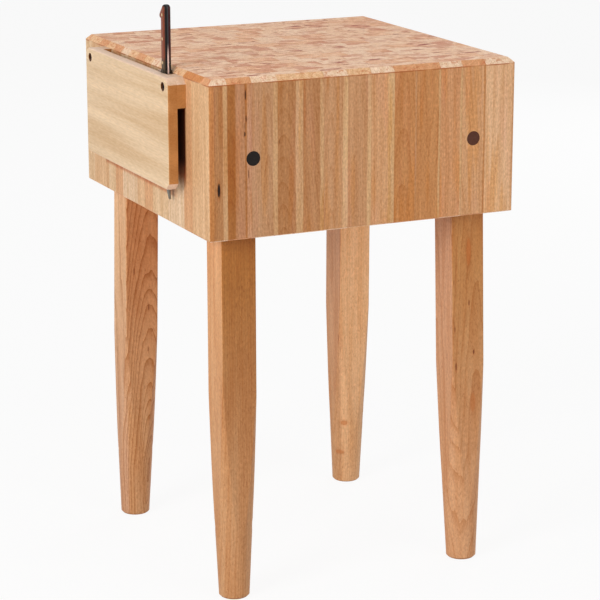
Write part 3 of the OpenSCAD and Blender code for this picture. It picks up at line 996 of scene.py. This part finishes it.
@dataclass
class Rack:
    """The knife rack: board, spacers and screws."""

    head_room: float = 0.0019
    pit_rim: float = 0.0004
    figure: Figure = Figure(ring=0.0045, ring_strength=0.04, wave=0.01, band=0.028, band_strength=0.8,
                            speck_strength=0.4, fibre_strength=0.22, fleck_strength=0.07,
                            warmth=(1.0, 0.9, 0.74))

    def build(self) -> None:
        """Dresses the rack."""
        low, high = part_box("rack_board")
        screw_low, screw_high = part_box("rack_screws")
        head = (screw_high.z - screw_low.z) / 2.0
        pits = tuple(Pit(y, screw_low.z + head, head + self.head_room, low.x + self.pit_rim)
                     for y in (screw_low.y + head, screw_high.y - head))
        # The top and bottom edges take a paler tone than the faces: painted light.
        maple = palette("IVORY END_GRAIN RACK_EDGE")
        # The board gets painted shade in the slot and in the screw counterbores.
        board = LongWood("maple_rack_board", 1, maple,
                         Tree(low.x - 0.05, low.z - 0.12), self.figure, 9.0, low.y, high.y,
                         slot=Slot(low.y, high.y, low.z, high.z), pits=pits, stretch=3.0)
        dress(["rack_board"], board.material())
        spacer = LongWood("maple_rack_spacer", 1, maple, Tree(low.x + 0.08, low.z), self.figure, 13.0,
                          low.y, high.y, stretch=3.0)
        dress(["rack_spacer_front", "rack_spacer_back"], spacer.material())
        dress(["rack_screws"], Metal("black_oxide", Tone.BLACK_STEEL, Tone.INK, 0.4, 0.6).material())


@dataclass(frozen=True)
class TangSteel(Metal):
    """The blade's steel: dark above the board, with a painted highlight line low in the handle."""

    handle_foot: float = 0.0
    highlight_height: float = 0.044
    bolster_height: float = 0.006
    tang_soft: float = 0.0005

    def tint(self, graph: Graph, colour: Wire) -> tuple[Wire, Value]:
        """Darkens the tang, apart from a painted highlight line low in the handle."""
        z = graph.place()[2]
        highlight = 1.0 - z.rise(self.handle_foot + self.highlight_height * 0.4, self.handle_foot + self.highlight_height)
        tang_foot = self.handle_foot - self.bolster_height
        tang = z.rise(tang_foot - self.tang_soft, tang_foot + self.tang_soft)
        # Painted highlight: a pale pink line on the tang low in the handle.
        colour = graph.mix(tang, colour, graph.mix(highlight, Tone.BUTT_BLUE, Tone.TANG_HIGHLIGHT_PINK))
        return colour, (1.0 - tang) * self.metallic


@dataclass(frozen=True)
class BolsterSteel(Metal):
    """The bolster's dark steel, with the tang's painted highlight line down its middle."""

    middle: float = 0.0
    tang: float = 0.0012

    def tint(self, graph: Graph, colour: Wire) -> tuple[Wire, Value]:
        """Paints the tang's highlight line down the bolster's middle."""
        highlight = abs(graph.place()[0] - self.middle) < self.tang
        # Painted highlight: the tang's pale line down the bolster.
        return graph.mix(highlight * 1.0, colour, Tone.TANG_HIGHLIGHT_PINK), (1.0 - highlight) * self.metallic


@dataclass(frozen=True)
class Scale:
    """One handle scale: its side view, and the rounding of its outer edges. Lengths are in metres.

    The side view runs from the bolster up the spine, around the butt, down the slope to the hook, and
    back under the hook to the bolster.
    """

    width: float = 0.0165
    height: float = 0.103
    hook: float = 0.006
    drop: float = 0.012
    round: float = 0.006
    thickness: float = 0.0053
    rivet_stand: float = 0.00015
    edge: float = 0.0048
    steps: int = 9
    layers: int = 7

    def outline(self, inset: float) -> list[tuple[float, float]]:
        """Gives the side view, drawn in by an inset everywhere but at the bolster.

        Args:
            inset: How far it is drawn in.

        Returns:
            Its corners as distance from the spine and height over the bolster.
        """
        butt = (self.round, self.height - self.round)
        hook = (self.width + self.hook - self.round, butt[1] - self.drop)
        slope = math.atan2(hook[1] - butt[1], hook[0] - butt[0]) + math.pi / 2.0
        radius = self.round - inset
        turns = [(butt, math.pi, slope), (hook, slope, -math.pi / 2.0)]
        rounds = [(middle[0] + radius * math.cos(start + (end - start) * step / self.steps),
                   middle[1] + radius * math.sin(start + (end - start) * step / self.steps))
                  for middle, start, end in turns for step in range(self.steps + 1)]
        neck = self.width - inset
        return [(inset, 0.0)] + rounds + [(neck, rounds[-1][1]), (neck, 0.0)]

    def shape(self, name: str, inner: Vector, side: float) -> bpy.types.Object:
        """Builds the scale's mesh.

        Args:
            name: The mesh object's name.
            inner: Where the spine meets the bolster, on the scale's inner face.
            side: -1 for the left scale and 1 for the right one.

        Returns:
            The scale.
        """
        wall = self.thickness - self.rivet_stand - self.edge
        rings = [(0.0, 0.0)]
        for layer in range(self.layers + 1):
            turn = math.pi / 2.0 * layer / self.layers
            rings.append((wall + self.edge * math.sin(turn), self.edge * (1.0 - math.cos(turn))))
        points, faces = [], []
        for depth, inset in rings:
            points += [(inner.x + side * depth, inner.y + y, inner.z + z) for y, z in self.outline(inset)]
        count = len(points) // len(rings)
        for ring in range(len(rings) - 1):
            for corner in range(count):
                after = (corner + 1) % count
                faces.append((ring * count + corner, ring * count + after,
                              (ring + 1) * count + after, (ring + 1) * count + corner))
        faces += [tuple(range(count)), tuple(range(len(points) - count, len(points)))]
        mesh = bpy.data.meshes.new(name)
        mesh.from_pydata(points, [], faces)
        shaper = bmesh.new()
        shaper.from_mesh(mesh)
        bmesh.ops.recalc_face_normals(shaper, faces=shaper.faces)
        shaper.to_mesh(mesh)
        shaper.free()
        return put(name, mesh)


@dataclass
class Knife:
    """The chef's knife that stands in the rack."""

    scale: Scale = Scale()
    foot: float = 0.022

    def build(self) -> None:
        """Dresses the steel, and replaces the handle scales by rounded ones."""
        low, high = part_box("knife_scale_left")
        blade = TangSteel("blade_steel_finish", Tone.BLADE, Tone.DULL_BLADE, 0.38, handle_foot=low.z)
        dress(["knife_blade"], blade.material())
        bolster_low, bolster_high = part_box("knife_bolster")
        middle = (bolster_low.x + bolster_high.x) / 2.0
        bolster = BolsterSteel("bolster_steel_finish", Tone.DARK_STEEL, Tone.INK, 0.3, middle=middle)
        dress(["knife_bolster"], bolster.material())
        # The left scale's sides are brown and its back near-black: the brown is painted light, the lit side
        # of a dark handle.
        for side, sign, woods in (("left", -1.0, palette("HANDLE_BROWN INK INK")),
                                  ("right", 1.0, palette("HANDLE_RED HANDLE_RED INK"))):
            node = f"knife_scale_{side}"
            low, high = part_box(node)
            inner = Vector((high.x if sign < 0.0 else low.x, low.y, low.z))
            scale = self.scale.shape(f"rounded_{node}", inner, sign)
            wood = LongWood(f"handle_wood_{side}", 2, woods, Tree(low.x - 0.01, low.y - 0.01),
                            Figure(ring=0.0012, ring_strength=0.35, wave=0.002, band=0.004), 21.0,
                            low.z + self.foot / 2.0, low.z + self.foot,
                            palette("HANDLE_FOOT INK INK"), roughness=0.3, gloss=0.2)
            scale.data.materials.append(wood.material())
            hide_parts(node)
            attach(scale, "knife")
        dress(["knife_rivets"], Metal("rivet_brass_finish", Tone.BRASS, Tone.DULL_BRASS, 0.22).material())


# --- floor, light and camera

@dataclass(frozen=True)
class Lamp:
    """A soft square lamp: where it hangs, its power in watts and its width."""

    name: str
    place: tuple[float, float, float]
    power: float
    size: float


@dataclass(frozen=True)
class Studio:
    """The pale floor, the soft light and the camera. Lengths are in metres, angles in degrees."""

    floor_size: float = 40.0
    camera: tuple[float, float, float] = (-1.6411, -3.5459, 1.4604)
    turn: float = -25.2
    tilt: float = 75.16
    lens: float = 141.34
    sensor: float = 36.0
    aim: tuple[float, float, float] = (0.0, 0.0, 0.55)
    floor_grey: Colour = (0.86, 0.86, 0.86)
    floor_glow: float = 0.9
    ambient: float = 0.5
    lamps: tuple[Lamp, ...] = (
        Lamp("key", (-3.4, -1.6, 1.9), 82.0, 1.6), Lamp("fill", (1.5, -4.0, 2.4), 36.0, 2.6),
        Lamp("back", (3.2, 2.6, 2.0), 34.0, 2.6))

    def floor(self) -> None:
        """Lays the floor, which stays white where nothing shades it."""
        mesh = bpy.data.meshes.new("floor")
        half = self.floor_size / 2.0
        mesh.from_pydata([(-half, -half, 0), (half, -half, 0), (half, half, 0), (-half, half, 0)],
                         [], [(0, 1, 2, 3)])
        floor = put("floor", mesh)
        graph = Graph.of_material("pale_floor")
        diffuse = graph.add("BsdfDiffuse", None, {"Color": self.floor_grey})
        glow = graph.add("Emission", None, {"Color": WHITE, "Strength": 1.0})
        shader = graph.add("MixShader", None, {0: self.seen(graph) * self.floor_glow, 1: diffuse, 2: glow})
        graph.add("OutputMaterial", None, {"Surface": shader})
        mesh.materials.append(graph.owner)

    @staticmethod
    def seen(graph: Graph) -> Wire:
        """Gives 1 for rays that look at the background, straight or through gloss or glass."""
        path = graph.add("LightPath").socket.node.outputs
        rays = [Wire(graph, path[name]) for name in
                ("Is Camera Ray", "Is Glossy Ray", "Is Transmission Ray")]
        return graph.math("MINIMUM", rays[0] + rays[1] + rays[2], 1.0)

    def sky(self) -> None:
        """Makes a plain white world that lights softly and shows white."""
        world = bpy.data.worlds.new("studio")
        bpy.context.scene.world = world
        graph = Graph(world)
        strength = self.ambient + self.seen(graph) * (1.0 - self.ambient)
        shine = graph.add("Background", None, {"Color": WHITE, "Strength": strength})
        graph.add("OutputWorld", None, {"Surface": shine})

    def hang(self, lamp: Lamp) -> None:
        """Hangs a lamp so that it looks at the table."""
        light = bpy.data.lights.new(lamp.name, "AREA")
        light.energy = lamp.power
        light.size = lamp.size
        hung = put(lamp.name, light)
        hung.location = lamp.place
        hung.rotation_euler = (Vector(self.aim) - hung.location).to_track_quat("-Z", "Y").to_euler()

    def build(self) -> None:
        """Sets the stage."""
        scene = bpy.context.scene
        scene.view_settings.view_transform = "Standard"
        self.floor()
        self.sky()
        for lamp in self.lamps:
            self.hang(lamp)
        data = bpy.data.cameras.new("camera")
        data.lens = self.lens
        data.sensor_width = self.sensor
        camera = put("camera", data)
        camera.location = self.camera
        camera.rotation_euler = (math.radians(self.tilt), 0.0, math.radians(self.turn))
        scene.camera = camera
        log.info("floor, light and camera are set")


def main() -> None:
    """Builds everything in order."""
    logging.basicConfig(level=logging.INFO, format="%(name)s: %(message)s")
    Studio().build()
    Block().build()
    Legs().build()
    Rack().build()
    Knife().build()


if __name__ == "__main__":
    main()
